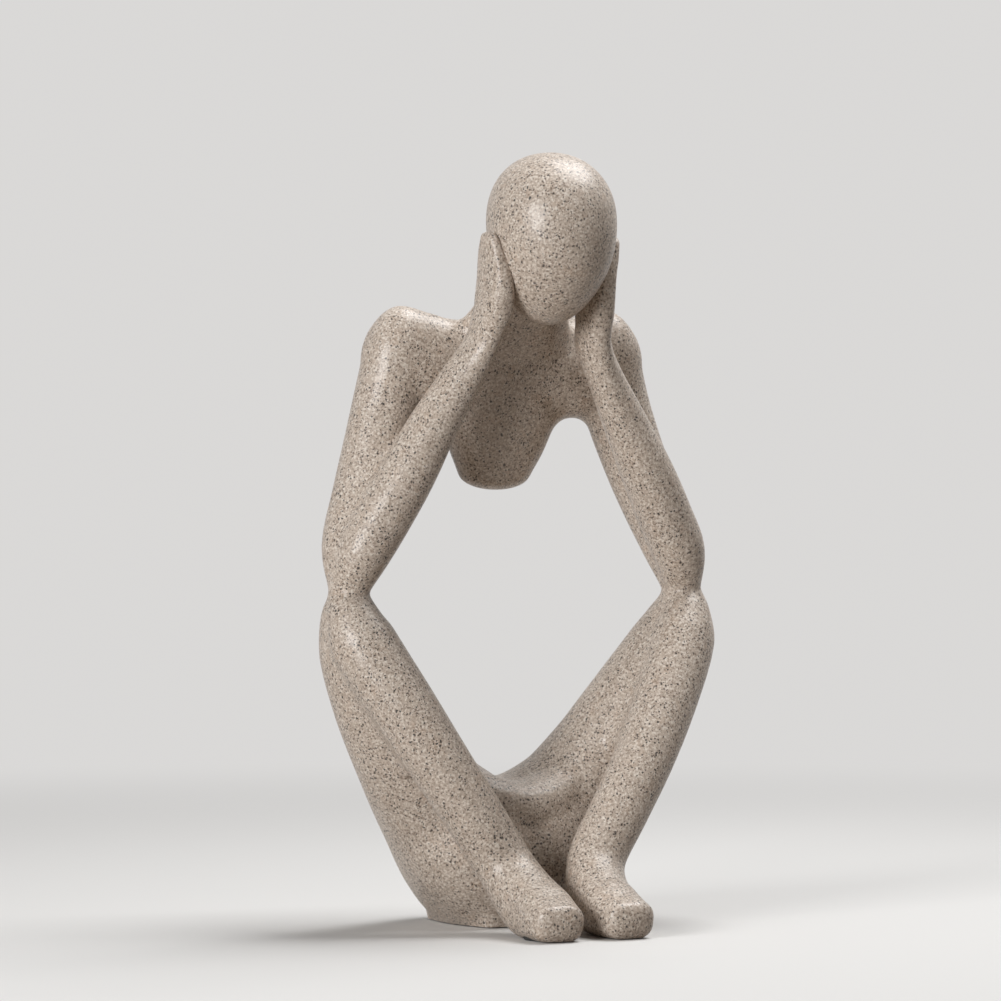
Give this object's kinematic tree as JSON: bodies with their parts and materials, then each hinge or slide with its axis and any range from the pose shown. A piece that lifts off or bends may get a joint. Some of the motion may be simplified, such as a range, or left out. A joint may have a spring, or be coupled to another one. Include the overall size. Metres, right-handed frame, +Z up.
{
  "type": "meditating figure statue",
  "caption": "Seated abstract figure, elbows on knees and a smooth faceless head held between flat hands, cast in speckled sandstone-look resin for a shelf or table.",
  "frame": {"origin": "on the floor, under the middle of the figure's box", "axes": "+Z up, the figure faces -Y, and its left side is +X"},
  "size_m": [0.1424, 0.1049, 0.2598],
  "materials": {
    "sandstone": "satin, finely speckled",
    "steel": "ground",
    "rubber": "matte"
  },
  "bodies": {
    "root": {"head": "sandstone", "torso": "sandstone", "seat": "sandstone", "right_arm": "sandstone", "left_arm": "sandstone", "right_leg": "sandstone", "left_leg": "sandstone", "neck_dowel": "steel", "right_shoulder_dowel": "steel", "left_shoulder_dowel": "steel", "right_elbow_dowel": "steel", "left_elbow_dowel": "steel", "right_hip_front_dowel": "steel", "right_hip_rear_dowel": "steel", "left_hip_front_dowel": "steel", "left_hip_rear_dowel": "steel", "seat_pad": "rubber", "right_foot_pad": "rubber", "left_foot_pad": "rubber"}
  },
  "joints": []
}
